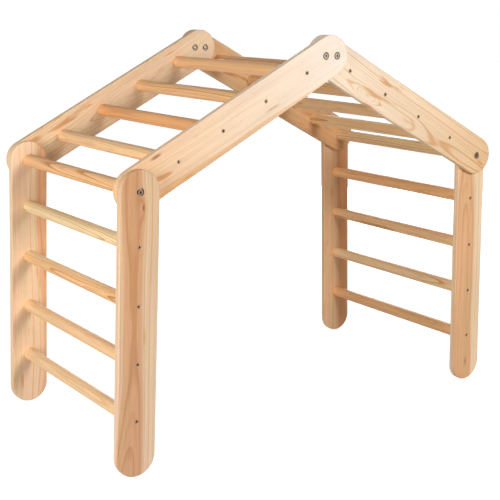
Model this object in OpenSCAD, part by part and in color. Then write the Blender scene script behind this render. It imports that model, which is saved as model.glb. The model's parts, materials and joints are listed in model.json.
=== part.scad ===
// A child's folding climbing frame, stood up as a small house.
//
// Four equal ladder panels hang together in a chain: left leg, left roof,
// right roof, right leg. A panel is two flat boards with round ends, called
// rails here, and four round rungs between them, each held by a screw through
// the rail at both ends. Every panel of the chain is set one board further back
// than the one before it, so the rails pass each other side by side.
//
// At each eave a bolt at the front and one at the back run through a leg rail
// and a roof rail into the ends of a fifth rung, which lies on the hinge axis.
// At the ridge two bolts side by side lock the two roof panels together.
//
// X runs along the house, Y from front to back, Z up. The origin is on the
// floor, below the middle of the ridge.

/* [Rails] */
// Length of every rail over its round ends
rail_l = 700; // [600:5:850]
// Width of the rail boards, which is also the diameter of their ends
rail_w = 98; // [80:1:115]
// Thickness of the rail boards
rail_t = 18; // [16:0.5:24]
// Radius of the eased edges of the rails
rail_edge_r = 3; // [1:0.5:6]

/* [Panels] */
// Width of a panel over the outer faces of its two rails
panel_w = 600; // [450:10:800]
// Slope of the roof panels above level, in degrees
roof_slope = 27.5; // [20:0.5:40]
// Lean of the legs away from upright, feet outwards, in degrees
leg_splay = 2; // [0:0.5:8]

/* [Rungs] */
// Diameter of the rungs
rung_d = 32; // [24:1:38]
// Distance from the eave axis to the first rung of a panel
first_rung = 120.5; // [90:0.5:150]
// Distance from the last rung of a panel to the middle of its far round end
last_rung = 83; // [75:1:120]
// Depth of the blind hole in the rail that takes the end of a rung
rung_socket = 6; // [3:0.5:9]

/* [Rung screws] */
// Diameter of the screw shank
screw_d = 7; // [5:0.5:8]
// Length of the screw
screw_l = 50; // [40:1:70]
// Diameter of the screw head
screw_head_d = 10; // [9:0.5:14]
// Height of the rim of the screw head, above its cone
screw_rim_h = 1.5; // [1:0.25:3]
// Width across the flats of the hexagon key hole
screw_key = 4; // [3:0.5:5]
// Depth of the screw head below the face of the rail
screw_sink = 0.3; // [0.1:0.1:1]

/* [Bolts] */
// Diameter of the bolt shank
bolt_d = 6; // [5:0.5:8]
// Diameter of the bolt head
bolt_head_d = 12; // [9:0.5:13]
// Height of the bolt head
bolt_head_h = 6; // [4:0.5:8]
// Width across the flats of the key hole in the bolt head
bolt_key = 5; // [4:0.5:6]
// Depth of the round recess for a head or a nut
recess_depth = 8; // [7.6:0.1:10]
// Diameter of the washer under a head or a nut
washer_d = 18; // [15:0.5:22]
// Thickness of the washer
washer_t = 1.6; // [1:0.1:2]
// Width of the nut across its flats
nut_w = 10; // [10:0.5:13]
// Height of the nut
nut_h = 5.5; // [4:0.5:6]
// How far a ridge bolt comes out of its nut
bolt_tail = 0.5; // [0.2:0.1:2]
// Distance between the two bolts at the ridge
ridge_bolt_pitch = 34; // [28:1:40]
// Outside diameter of the threaded insert in the end of a pivot rung
insert_d = 10; // [9:0.5:14]
// Length of the threaded insert
insert_l = 20; // [14:1:30]
// How far a pivot bolt is screwed into its insert
bolt_grip = 15; // [10:1:19]

/* [Clearances] */
// Gap between two faces that turn past each other
turn_gap = 0.4; // [0.3:0.05:0.8]
// Clearance all round a bolt or a screw in its hole
bolt_clear = 0.05; // [0.02:0.01:0.1]
// Clearance all round a rung in its socket
rung_clear = 0.1; // [0.05:0.05:0.3]
// Clearance all round a washer in its recess
washer_clear = 0.3; // [0.2:0.1:0.6]

/* [Hidden] */
$fn = 64;
RUNGS = 4;
LEFT = -1;
RIGHT = 1;
FRONT = 1;
BACK = -1;
past = 1;            // how far a cutter runs past the face it cuts
drill_past = 2;      // how much deeper a blind bolt hole is than the bolt
key_depth = 0.6;     // depth of a key hole, as a share of its head
bevel = 0.6;         // bevel round the top of a bolt head

// The panels in the order of the chain
PANELS = ["left_leg", "left_roof", "right_roof", "right_leg"];
ENDS = ["front", "back"];
NODES = concat(
    [for (p = PANELS, e = ENDS) str(p, "_", e, "_rail")],
    [for (p = PANELS, k = [1:RUNGS]) str(p, "_rung_", k)],
    [for (p = PANELS, e = ENDS) str(p, "_", e, "_rung_screws")],
    ["left_pivot_rung", "right_pivot_rung"],
    ["left_front_pivot_bolt", "left_back_pivot_bolt"],
    ["right_front_pivot_bolt", "right_back_pivot_bolt"],
    ["left_pivot_washers", "right_pivot_washers"],
    ["left_pivot_inserts", "right_pivot_inserts"],
    [for (e = ENDS) str(e, "_ridge_bolts")],
    [for (e = ENDS) str(e, "_ridge_washers")],
    [for (e = ENDS) str(e, "_ridge_nuts")]
);
node = "all";

// Between the two round ends of a rail, centre to centre
reach = rail_l - rail_w;
// The rungs divide what lies between the first one and the last one evenly
rung_pitch = (reach - first_rung - last_rung) / (RUNGS - 1);
// Each panel stands this far behind the first: the rails touch at the ridge,
// and keep the turning gap at the two eaves
set_back = [0, rail_t + turn_gap, 2 * rail_t + turn_gap, 3 * rail_t + 2 * turn_gap];
depth = panel_w + set_back[3];
// The direction each panel takes from its eave, in degrees from straight up
heading = [180 + leg_splay, 90 - roof_slope, roof_slope - 90, 180 - leg_splay];
eave_x = reach * cos(roof_slope);
eave_z = reach * cos(leg_splay) + rail_w / 2;
ridge_z = eave_z + reach * sin(roof_slope);
inner_l = panel_w - 2 * rail_t;

function side(i) = i < 2 ? LEFT : RIGHT;
function is_roof(i) = i == 1 || i == 2;
function front_y(i) = set_back[i] - depth / 2;
function back_y(i) = front_y(i) + panel_w;
// The outer face of one of the rails of a panel
function outer_y(i, end) = end == FRONT ? front_y(i) : back_y(i);
function inner_y(i, end) = outer_y(i, end) + end * rail_t;
function rung_at(k) = first_rung + (k - 1) * rung_pitch;

// The leg and the roof panel of one side, and its outermost rail at one end
function leg_of(s) = s == LEFT ? 0 : 3;
function roof_of(s) = s == LEFT ? 1 : 2;
function outermost(s, end) = s == end * LEFT ? leg_of(s) : roof_of(s);
function innermost(s, end) = s == end * LEFT ? roof_of(s) : leg_of(s);
function outermost_at_ridge(end) = end == FRONT ? roof_of(LEFT) : roof_of(RIGHT);
// A pivot rung touches the roof rail, and keeps the turning gap from a leg rail
function pivot_rung_y(s, end) =
    inner_y(innermost(s, end), end) + (innermost(s, end) == leg_of(s) ? end * turn_gap : 0);

// ---- placing ----------------------------------------------------------------

// From a panel's own frame, with its eave axis at the origin and Z along it
module in_panel(i) {
    translate([side(i) * eave_x, 0, eave_z]) rotate([0, heading[i], 0]) children();
}

module on_eave(s, y) {
    translate([s * eave_x, y, eave_z]) children();
}

module on_ridge(y) {
    for (m = [-1, 1])
        translate([m * ridge_bolt_pitch / 2, y, ridge_z]) children();
}

// Turns a board drawn with its outer face to the front round to the back end
module facing(end) {
    if (end == FRONT) children();
    else mirror([0, 1, 0]) children();
}

// Turns +Z into the house: to the back from the front end, and the other way
module inwards(end) {
    rotate([-90 * end, 0, 0]) children();
}

// ---- fasteners, each with its head at the origin and its shank along +Z ------

// The outline of a rung screw, grown by a clearance where it cuts its own hole
module screw_shape(clear, above) {
    head_r = screw_head_d / 2 + clear;
    shank_r = screw_d / 2 + clear;
    cone_z = screw_rim_h + head_r - shank_r;
    tip_z = screw_l + clear;
    rotate_extrude() polygon([
        [0, -above], [head_r, -above], [head_r, screw_rim_h], [shank_r, cone_z],
        [shank_r, tip_z - shank_r], [shank_r / 3, tip_z], [0, tip_z]
    ]);
}

module key_hole(width, deep) {
    translate([0, 0, -past]) cylinder(d = width / cos(30), h = deep + past, $fn = 6);
}

module rung_screw() {
    difference() {
        screw_shape(0, 0);
        key_hole(screw_key, screw_head_d * key_depth / 2);
    }
}

module bolt(shank_l) {
    head_r = bolt_head_d / 2;
    difference() {
        union() {
            rotate_extrude() polygon([
                [0, -bolt_head_h], [head_r - bevel, -bolt_head_h],
                [head_r, bevel - bolt_head_h], [head_r, 0], [0, 0]
            ]);
            cylinder(d = bolt_d, h = shank_l);
        }
        translate([0, 0, -bolt_head_h]) key_hole(bolt_key, bolt_head_h * key_depth);
    }
}

module washer() {
    difference() {
        cylinder(d = washer_d, h = washer_t);
        translate([0, 0, -past]) cylinder(r = bolt_d / 2 + bolt_clear, h = washer_t + 2 * past);
    }
}

module nut() {
    difference() {
        cylinder(d = nut_w / cos(30), h = nut_h, $fn = 6);
        translate([0, 0, -past]) cylinder(r = bolt_d / 2 + bolt_clear, h = nut_h + 2 * past);
    }
}

module bolt_hole() {
    translate([0, 0, -past]) cylinder(r = bolt_d / 2 + bolt_clear, h = rail_t + 2 * past);
}

module recess() {
    translate([0, 0, -past]) cylinder(r = washer_d / 2 + washer_clear, h = recess_depth + past);
}

// ---- rails ------------------------------------------------------------------

// The section of a board: its width along X, its thickness along Y
module board_section(x_from) {
    e = rail_edge_r;
    half_w = rail_w / 2;
    flat_from = x_from < 0 ? x_from + e : x_from;
    translate([flat_from, 0]) square([half_w - e - flat_from, rail_t]);
    translate([x_from, e]) square([half_w - x_from, rail_t - 2 * e]);
    for (y = [e, rail_t - e]) {
        translate([half_w - e, y]) circle(e);
        if (x_from < 0) translate([x_from + e, y]) circle(e);
    }
}

module round_end() {
    translate([0, rail_t, 0]) rotate([90, 0, 0])
        rotate_extrude(angle = 180, $fn = 128) board_section(0);
}

// A whole board, its lower round end centred on the origin
module board() {
    linear_extrude(reach) board_section(-rail_w / 2);
    translate([0, 0, reach]) round_end();
    rotate([0, 180, 0]) round_end();
}

// The board with its rung holes, its outer face on Y = 0
module rung_board() {
    difference() {
        board();
        for (k = [1:RUNGS]) translate([0, 0, rung_at(k)]) inwards(FRONT) {
            translate([0, 0, rail_t - rung_socket])
                cylinder(r = rung_d / 2 + rung_clear, h = rung_socket + past);
            translate([0, 0, screw_sink]) screw_shape(bolt_clear, screw_sink + past);
        }
    }
}

module rail(i, end) {
    color(is_roof(i) ? "#ecc6a0" : "#d9a67c") difference() {
        in_panel(i) translate([0, outer_y(i, end), 0]) facing(end) rung_board();
        on_eave(side(i), outer_y(i, end)) inwards(end) {
            bolt_hole();
            if (i == outermost(side(i), end)) recess();
        }
        if (is_roof(i)) {
            on_ridge(outer_y(i, end)) inwards(end) bolt_hole();
            // heads go in from outside the house, nuts from inside
            if (i == outermost_at_ridge(end)) on_ridge(outer_y(i, end)) inwards(end) recess();
            else on_ridge(inner_y(i, end)) inwards(-end) recess();
        }
    }
}

// ---- rungs and their screws -------------------------------------------------

module rung(i, k) {
    rung_l = inner_l + 2 * rung_socket;
    color("#e0b67e") in_panel(i) translate([0, 0, rung_at(k)]) difference() {
        translate([0, front_y(i) + rail_t - rung_socket, 0])
            inwards(FRONT) cylinder(d = rung_d, h = rung_l);
        for (end = [FRONT, BACK]) translate([0, outer_y(i, end) + end * screw_sink, 0])
            inwards(end) screw_shape(bolt_clear, 0);
    }
}

module rung_screws(i, end) {
    color("#a9a49b") in_panel(i) for (k = [1:RUNGS])
        translate([0, outer_y(i, end) + end * screw_sink, rung_at(k)])
            inwards(end) rung_screw();
}

// ---- eaves ------------------------------------------------------------------

module pivot_rung(s) {
    from = pivot_rung_y(s, FRONT);
    color("#e0b67e") difference() {
        on_eave(s, from) inwards(FRONT) cylinder(d = rung_d, h = pivot_rung_y(s, BACK) - from);
        for (end = [FRONT, BACK]) on_eave(s, pivot_rung_y(s, end)) inwards(end)
            translate([0, 0, -past]) {
                cylinder(r = insert_d / 2 + bolt_clear, h = insert_l + past);
                cylinder(r = bolt_d / 2 + bolt_clear, h = bolt_grip + drill_past + past);
            }
    }
}

module pivot_inserts(s) {
    color("#c8a860") for (end = [FRONT, BACK]) on_eave(s, pivot_rung_y(s, end)) inwards(end)
        difference() {
            cylinder(d = insert_d, h = insert_l);
            translate([0, 0, -past])
                cylinder(r = bolt_d / 2 + bolt_clear, h = insert_l + 2 * past);
        }
}

// A bolt stays with the roof, so its washer clears the floor of a leg's recess
function washer_top(s, end) =
    recess_depth - washer_t - (outermost(s, end) == leg_of(s) ? turn_gap : 0);

module pivot_bolt(s, end) {
    from = outer_y(outermost(s, end), end);
    to_insert = abs(pivot_rung_y(s, end) - from);
    top = washer_top(s, end);
    color("#6e6a66") on_eave(s, from) inwards(end)
        translate([0, 0, top]) bolt(to_insert + bolt_grip - top);
}

module pivot_washers(s) {
    color("#8d8a86") for (end = [FRONT, BACK]) on_eave(s, outer_y(outermost(s, end), end))
        inwards(end) translate([0, 0, washer_top(s, end)]) washer();
}

// ---- ridge ------------------------------------------------------------------

// Where the washers and the nut lie, from the face that the head sinks into
ridge_head_z = recess_depth - washer_t;
ridge_nut_z = 2 * rail_t - recess_depth + washer_t;

module ridge_bolts(end) {
    color("#b9b5ae") on_ridge(outer_y(outermost_at_ridge(end), end)) inwards(end)
        translate([0, 0, ridge_head_z]) bolt(ridge_nut_z + nut_h + bolt_tail - ridge_head_z);
}

module ridge_washers(end) {
    color("#a5a199") on_ridge(outer_y(outermost_at_ridge(end), end)) inwards(end)
        for (z = [ridge_head_z, ridge_nut_z - washer_t]) translate([0, 0, z]) washer();
}

module ridge_nuts(end) {
    color("#a5a199") on_ridge(outer_y(outermost_at_ridge(end), end)) inwards(end)
        translate([0, 0, ridge_nut_z]) nut();
}

// ---- the whole frame --------------------------------------------------------

function shown(name) = node == "all" || node == name;

for (i = [0:3], e = [0, 1]) {
    end = e == 0 ? FRONT : BACK;
    if (shown(str(PANELS[i], "_", ENDS[e], "_rail"))) rail(i, end);
    if (shown(str(PANELS[i], "_", ENDS[e], "_rung_screws"))) rung_screws(i, end);
}
for (i = [0:3], k = [1:RUNGS])
    if (shown(str(PANELS[i], "_rung_", k))) rung(i, k);

if (shown("left_pivot_rung")) pivot_rung(LEFT);
if (shown("right_pivot_rung")) pivot_rung(RIGHT);
if (shown("left_front_pivot_bolt")) pivot_bolt(LEFT, FRONT);
if (shown("left_back_pivot_bolt")) pivot_bolt(LEFT, BACK);
if (shown("right_front_pivot_bolt")) pivot_bolt(RIGHT, FRONT);
if (shown("right_back_pivot_bolt")) pivot_bolt(RIGHT, BACK);
if (shown("left_pivot_washers")) pivot_washers(LEFT);
if (shown("right_pivot_washers")) pivot_washers(RIGHT);
if (shown("left_pivot_inserts")) pivot_inserts(LEFT);
if (shown("right_pivot_inserts")) pivot_inserts(RIGHT);

for (e = [0, 1]) {
    end = e == 0 ? FRONT : BACK;
    if (shown(str(ENDS[e], "_ridge_bolts"))) ridge_bolts(end);
    if (shown(str(ENDS[e], "_ridge_washers"))) ridge_washers(end);
    if (shown(str(ENDS[e], "_ridge_nuts"))) ridge_nuts(end);
}
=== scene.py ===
# %% [markdown]
# # A child's climbing frame in oiled pine
#
# The real thing is a chain of four ladder panels, stood up as a small house. Eight flat
# boards with round ends, eighteen round rungs and a few dozen screws and bolts are all
# there is, so the wood has to carry the picture.
#
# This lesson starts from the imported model, which fixes where everything is. We model
# each piece again with the small things that a drawing leaves out: sanded rims, threads,
# key holes. Then every board gets the grain of the place in the log it was sawn from.

# %% Load the frame
import json
import math
import random

import bmesh
import bpy
from mathutils import Matrix, Vector


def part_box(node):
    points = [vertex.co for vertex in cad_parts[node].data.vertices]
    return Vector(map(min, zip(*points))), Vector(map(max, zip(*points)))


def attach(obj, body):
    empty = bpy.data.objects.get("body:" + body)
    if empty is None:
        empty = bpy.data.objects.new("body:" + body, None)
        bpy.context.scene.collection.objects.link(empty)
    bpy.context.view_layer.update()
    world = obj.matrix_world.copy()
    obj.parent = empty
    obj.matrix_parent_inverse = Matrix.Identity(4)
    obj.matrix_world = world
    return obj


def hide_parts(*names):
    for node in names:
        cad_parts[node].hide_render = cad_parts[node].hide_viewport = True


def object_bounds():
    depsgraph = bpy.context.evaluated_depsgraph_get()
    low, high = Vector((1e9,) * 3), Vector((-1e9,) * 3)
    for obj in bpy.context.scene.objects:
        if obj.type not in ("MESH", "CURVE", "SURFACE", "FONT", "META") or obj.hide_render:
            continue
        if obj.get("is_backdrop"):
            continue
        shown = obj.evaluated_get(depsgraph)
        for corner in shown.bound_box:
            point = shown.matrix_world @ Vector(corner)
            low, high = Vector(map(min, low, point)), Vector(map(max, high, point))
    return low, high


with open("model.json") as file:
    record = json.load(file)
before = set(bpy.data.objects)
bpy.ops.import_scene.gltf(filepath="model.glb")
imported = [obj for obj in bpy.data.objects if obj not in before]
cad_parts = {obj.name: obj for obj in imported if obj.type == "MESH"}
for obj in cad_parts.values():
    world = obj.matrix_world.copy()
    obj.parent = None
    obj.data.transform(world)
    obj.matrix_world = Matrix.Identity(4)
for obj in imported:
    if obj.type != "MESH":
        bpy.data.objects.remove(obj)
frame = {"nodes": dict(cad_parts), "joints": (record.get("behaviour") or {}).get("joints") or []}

MM = 0.001  # one millimetre, in Blender's metres
cad_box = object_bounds()
print("the frame measures", [round(v, 3) for v in cad_box[1] - cad_box[0]], "m")

# %% [markdown]
# ## What the frame tells us
#
# We could type every size and place in again, but then two files would have to agree by
# hand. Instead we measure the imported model. A board's box, with the hinge at its eave,
# gives its slope, its width and the distance between its two round ends. Only what no
# box shows, such as a shank inside the wood, is typed in.

# %% Panels and ends
PANELS = ("left_leg", "left_roof", "right_roof", "right_leg")
SIDES = ("left", "right")
ENDS = ("front", "back")
RUNGS = range(1, 5)
INWARDS = {"front": 1, "back": -1}  # the way into the house along Y, from each end
EAVES = {j["child"].split("_")[0]: Vector(j["pos_m"]) for j in frame["joints"]}


def body_of(panel):
    """A leg moves by itself, and both roof panels are one body."""
    return panel if "leg" in panel else "roof"


print("hinges at", {side: [round(v, 3) for v in eave] for side, eave in EAVES.items()})

# %% Boxes of the nodes


def middle(node):
    low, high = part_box(node)
    return (low + high) / 2


def size(node):
    low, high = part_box(node)
    return high - low


def outer_y(node, end):
    """Where a node's box ends on the side that faces out of the house."""
    low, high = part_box(node)
    return low.y if end == "front" else high.y


def run_of(panel, end):
    """From the middle of a board's round end at the eave to the middle of its other one."""
    run = 2 * (middle(f"{panel}_{end}_rail") - EAVES[panel.split("_")[0]])
    run.y = 0
    return run


# %% The measures of a board and a rung
a_run = run_of("left_leg", "front")
REACH = a_run.length
WIDTH = size("left_leg_front_rail").x - abs(a_run.x)
THICK = size("left_leg_front_rail").y
EDGE_R = 3 * MM  # how round the long edges of a board are
RUNG_D = size("left_leg_rung_1").x
RUNG_L = size("left_leg_rung_1").y
between_rails = middle("left_leg_back_rail").y - middle("left_leg_front_rail").y - THICK
SOCKET = (RUNG_L - between_rails) / 2
from_eave = [middle(f"left_leg_rung_{k}") - EAVES["left"] for k in RUNGS]
rung_at = [math.hypot(way.x, way.z) for way in from_eave]
print(f"boards {WIDTH / MM:.1f} x {THICK / MM:.1f}, {REACH / MM:.1f} mm between round ends")
print(f"rungs {RUNG_D / MM:.1f} thick, let in {SOCKET / MM:.1f}, at",
      [round(u / MM) for u in rung_at], "mm")

# %% The measures of the screws and bolts
SCREW_L = size("left_leg_front_rung_screws").y
SCREW_SINK = abs(
    outer_y("left_leg_front_rung_screws", "front") - outer_y("left_leg_front_rail", "front"))
screw_spread = abs(middle("left_leg_rung_4").x - middle("left_leg_rung_1").x)
SCREW_HEAD_D = size("left_leg_front_rung_screws").x - screw_spread
SCREW_D = 7 * MM
SCREW_RIM = 1.5 * MM  # how far a screw head is straight before its cone begins
SCREW_KEY = 5 * MM  # a key hole's width across its flats
BOLT_HEAD_D = size("left_front_pivot_bolt").x
BOLT_HEAD_H = 6 * MM
BOLT_D = 6 * MM
BOLT_KEY = 5 * MM
WASHER_D = size("left_pivot_washers").x
WASHER_T = 1.6 * MM
NUT_W = size("front_ridge_nuts").z
NUT_H = size("front_ridge_nuts").y
RIDGE_PITCH = size("front_ridge_bolts").x - size("front_ridge_bolts").z
RECESS_D = WASHER_D + 0.6 * MM
RECESS_DEPTH = WASHER_T + abs(
    outer_y("front_ridge_washers", "front") - outer_y("left_roof_front_rail", "front"))
print(f"screw heads {SCREW_HEAD_D / MM:.1f}, recesses {RECESS_DEPTH / MM:.1f} mm deep,",
      f"ridge bolts {RIDGE_PITCH / MM:.1f} mm apart")

# %% Clearances
SLIP = 0.05 * MM  # all round a screw or bolt
RUNG_SLIP = 0.1 * MM  # all round a rung in its socket
LIP = 0.4 * MM  # how far the rim of a drilled hole is eased
PAST = 1 * MM  # how far a cutter runs past the face that it cuts

# %% [markdown]
# ## Working without a window
#
# Operators act on whatever is selected, so each helper first lets go of everything. Edges
# are picked in code, by where they lie: that is the mouse click of a script.

# %% Selecting pieces, and edges in edit mode


def only(*pieces):
    """Selects these objects and nothing else; the first one is the active one."""
    bpy.ops.object.select_all(action="DESELECT")
    for piece in pieces:
        piece.select_set(True)
    bpy.context.view_layer.objects.active = pieces[0]


def edit(piece):
    only(piece)
    bpy.ops.object.mode_set(mode="EDIT")


def done():
    bpy.ops.object.mode_set(mode="OBJECT")
    return bpy.context.object


def pick_edges(test):
    """In edit mode, selects the edges that pass a test."""
    bpy.ops.mesh.select_mode(type="EDGE")
    bpy.ops.mesh.select_all(action="DESELECT")
    mesh = bmesh.from_edit_mesh(bpy.context.object.data)
    for edge in mesh.edges:
        edge.select_set(test(edge))
    bmesh.update_edit_mesh(bpy.context.object.data)


# %% Places, modifiers and shading
SOFT_BELOW = math.radians(35)  # an edge that bends less than this is shaded as round


def apply_place(*pieces):
    only(*pieces)
    bpy.ops.object.transform_apply(location=True, rotation=True, scale=True)


def use_modifier(piece, kind, **settings):
    """Adds a modifier, sets it up and applies it."""
    modifier = piece.modifiers.new(kind.lower(), kind)
    for key, value in settings.items():
        setattr(modifier, key, value)
    only(piece)
    bpy.ops.object.modifier_apply(modifier=modifier.name)


def smooth(piece):
    """Shades the rounded edges softly and keeps the flat faces flat."""
    only(piece)
    bpy.ops.object.shade_smooth_by_angle(angle=SOFT_BELOW)
    use_modifier(piece, "WEIGHTED_NORMAL", keep_sharp=True, weight=100)


# %% Copies and cuts


def copies(shape, places):
    """One object that holds a copy of shape at each place. Each copy is a mesh of its own."""
    made = []
    for place in places:
        copy = shape.copy()
        copy.data = shape.data.copy()
        bpy.context.collection.objects.link(copy)
        copy.matrix_world = place
        made.append(copy)
    apply_place(*made)
    if len(made) > 1:
        bpy.ops.object.join()
    return bpy.context.object


def discard(*shapes):
    for shape in shapes:
        bpy.data.objects.remove(shape)


def cut(piece, *cutters):
    """Takes the cutters away from a piece, and throws them away."""
    for cutter in cutters:
        use_modifier(piece, "BOOLEAN", object=cutter, operation="DIFFERENCE", solver="EXACT")
    discard(*cutters)


# %% [markdown]
# ## Turned shapes
#
# Rungs, screws, bolts and even drills are turned shapes. Each could start as a cylinder,
# but its rims and steps would be more work than the rod. A lathe follows a profile
# instead: a disc is extruded and resized from one radius to the next, just as one would
# do it by hand. The same profile language makes a screw and the hole that it sits in.

# %% A lathe


def turned(profile, sides=48):
    """A closed solid round Z. profile lists (radius, height), from one flat end to the other."""
    bpy.ops.object.select_all(action="DESELECT")
    radius, height = profile[0]
    bpy.ops.mesh.primitive_circle_add(
        vertices=sides, radius=radius, fill_type="NGON", location=(0, 0, height))
    apply_place(bpy.context.object)
    edit(bpy.context.object)
    bpy.ops.mesh.select_all(action="SELECT")
    for next_radius, next_height in profile[1:]:
        step = (0, 0, next_height - height)
        scale = next_radius / radius
        bpy.ops.mesh.extrude_region_move(TRANSFORM_OT_translate={"value": step})
        bpy.ops.transform.resize(value=(scale, scale, 1))
        radius, height = next_radius, next_height
    bpy.ops.mesh.select_all(action="SELECT")
    bpy.ops.mesh.normals_make_consistent(inside=False)
    return done()


# %% Profiles that come back


def drill(diameter, depth):
    """A cutter that eases the rim of its own hole, from the face at height 0."""
    radius = diameter / 2
    return [(radius + LIP + PAST, -PAST), (radius, LIP), (radius, depth)]


def eased(radius, length, inwards, along):
    """A rod or disc whose two rims are bevelled, so far inwards and so far along."""
    return [(radius - inwards, 0), (radius, along),
            (radius, length - along), (radius - inwards, length)]


# %% [markdown]
# ## Threads and key holes
#
# The threads are out of sight in the wood, but whoever takes the model apart will look for
# them. A thread is the shank's own rings, pushed in by a wave that climbs as it goes
# round. That keeps the screw one closed skin, which a ridge laid on top would not.
#
# A key hole is cut, not painted, because paint would not darken as a hole does when one
# looks into it from the side. Its bottom is painted dark as well, as painted shade, so that
# the metal there does not shine; that mark is stored as an attribute.

# %% Threads
RINGS_PER_TURN = 4


def thread_rings(radius, start, stop, pitch):
    """The profile of a shank with enough rings to carry a thread."""
    count = round((stop - start) / pitch * RINGS_PER_TURN)
    return [(radius, start + (stop - start) * k / count) for k in range(count + 1)]


def cut_thread(screw, start, stop, pitch, depth):
    """Pushes the rings between two heights in along a climbing wave."""
    for vert in screw.data.vertices:
        x, y, z = vert.co
        if start < z < stop:
            turn = math.atan2(y, x) / math.tau
            wave = abs(2 * ((z / pitch - turn) % 1) - 1)
            fade = min(1, (z - start) / pitch, (stop - z) / pitch)
            shrink = 1 - depth * wave * fade / math.hypot(x, y)
            vert.co = (x * shrink, y * shrink, z)


# %% Key holes
HEXAGON = 6
HEX_FLATS = math.cos(math.radians(30))  # width over flats, as a share of that over corners
KEY_FLARE = 0.15 * MM  # how wide the rim of a key hole is bevelled


def store(piece, name, kind, values):
    """Stores one value for each vertex, as an attribute that a material can read."""
    attribute = piece.data.attributes.new(name, kind, "POINT")
    field = "vector" if kind == "FLOAT_VECTOR" else "value"
    for item, value in zip(attribute.data, values):
        setattr(item, field, value)


def cut_key_hole(screw, width, depth):
    """A hexagon hole in a head whose flat top is at height 0, with painted shade at its bottom."""
    corner = width / 2 / HEX_FLATS
    cut(screw, turned([(corner + KEY_FLARE + PAST, -PAST), (corner, KEY_FLARE),
                       (corner, depth)], HEXAGON))
    # the bottom of the key hole is marked, to be painted dark as shade
    at_bottom = [abs(v.co.z - depth) < SLIP and math.hypot(v.co.x, v.co.y) < corner + SLIP
                 for v in screw.data.vertices]
    store(screw, "key_hole_shade", "FLOAT", [float(is_deep) for is_deep in at_bottom])


# %% [markdown]
# ## The boards
#
# Each board is a plank with round ends, and its edges are eased so that they are kind to
# small hands. A cube is enough to start from: bevelling its four short edges by half the
# width turns each end into a half circle, and a second, small bevel eases the outline.
#
# Boards that lie outside another one at a bolt take the bolt's head in a wide recess.
# At the ridge the inner board takes the nut the same way, from inside the house.

# %% Where the boards lie
# Turns Z to +Y, the way in from the front, and to -Y, the way in from the back
ALONG_Y = {way: Matrix.Rotation(-way * math.pi / 2, 4, "X") for way in INWARDS.values()}
ridge = middle("front_ridge_bolts")
RIDGE_BOLTS = [Vector((x, 0, ridge.z)) for x in (-RIDGE_PITCH / 2, RIDGE_PITCH / 2)]


def board_place(panel, end):
    """Takes a board from its own frame to its place: X across, Y inwards, Z up from the eave."""
    eave = EAVES[panel.split("_")[0]]
    run = run_of(panel, end)
    turn = Matrix.Rotation(math.atan2(run.x, run.z), 4, "Y")
    if end == "back":
        turn = turn @ Matrix.Rotation(math.pi, 4, "Z")
    face = Vector((eave.x, outer_y(f"{panel}_{end}_rail", end), eave.z))
    return Matrix.Translation(face) @ turn


def is_outside(panel, end, other):
    """Whether a board lies outside the board of another panel, which it meets at a bolt."""
    own, met = (outer_y(f"{name}_{end}_rail", end) * INWARDS[end] for name in (panel, other))
    return own < met


print("ridge bolts at", [[round(v, 3) for v in bolt] for bolt in RIDGE_BOLTS])

# %% A plank with round ends
END_STEPS = 24  # faces in a quarter of a round end
EDGE_STEPS = 4  # faces round an eased edge


def plank():
    bpy.ops.object.select_all(action="DESELECT")
    bpy.ops.mesh.primitive_cube_add(
        size=1, location=(0, THICK / 2, REACH / 2), scale=(WIDTH, THICK, REACH + WIDTH))
    board = bpy.context.object
    apply_place(board)
    edit(board)
    pick_edges(lambda e: abs(e.verts[0].co.y - e.verts[1].co.y) > THICK / 2)
    bpy.ops.mesh.bevel(
        offset=WIDTH / 2, segments=END_STEPS, affect="EDGES", clamp_overlap=True)
    bpy.ops.mesh.select_all(action="SELECT")
    bpy.ops.mesh.remove_doubles(threshold=SLIP)
    pick_edges(lambda e: e.calc_face_angle() > math.radians(80))  # both faces' outlines
    bpy.ops.mesh.bevel(offset=EDGE_R, segments=EDGE_STEPS, affect="EDGES", clamp_overlap=True)
    return done()


# %% The drills


def rung_drill():
    """Countersink, screw hole and rung socket in one cutter, from the outer face inwards."""
    head = SCREW_HEAD_D / 2 + SLIP
    shank = SCREW_D / 2 + SLIP
    socket = RUNG_D / 2 + RUNG_SLIP
    rim = SCREW_SINK + SCREW_RIM
    floor = THICK - SOCKET
    return turned(drill(2 * head, rim) + [
        (shank, rim + head - shank), (shank, floor), (socket, floor),
        (socket, THICK - LIP), (socket + LIP + PAST, THICK + PAST)])


one_drill = rung_drill()
through = turned(drill(BOLT_D + 2 * SLIP, THICK + PAST))
bolt_hole_r = BOLT_D / 2 + SLIP
recess = turned(drill(RECESS_D, RECESS_DEPTH)
                + [(bolt_hole_r, RECESS_DEPTH), (bolt_hole_r, THICK + PAST)])
print("three drills: for rungs, for a bolt, and for a bolt with a recess")

# %% Drill the eight boards, each in its own frame


def ridge_cutters(panel, end):
    """Recesses for the ridge bolts: for their heads from outside, or their nuts from inside."""
    outside = is_outside(panel, end, "right_roof" if panel == "left_roof" else "left_roof")
    to_board = board_place(panel, end).inverted()
    cutters = []
    for bolt in RIDGE_BOLTS:
        at = to_board @ bolt
        at.y = 0 if outside else THICK
        cutters.append(copies(recess, [Matrix.Translation(at) @ ALONG_Y[1 if outside else -1]]))
    return cutters


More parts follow.
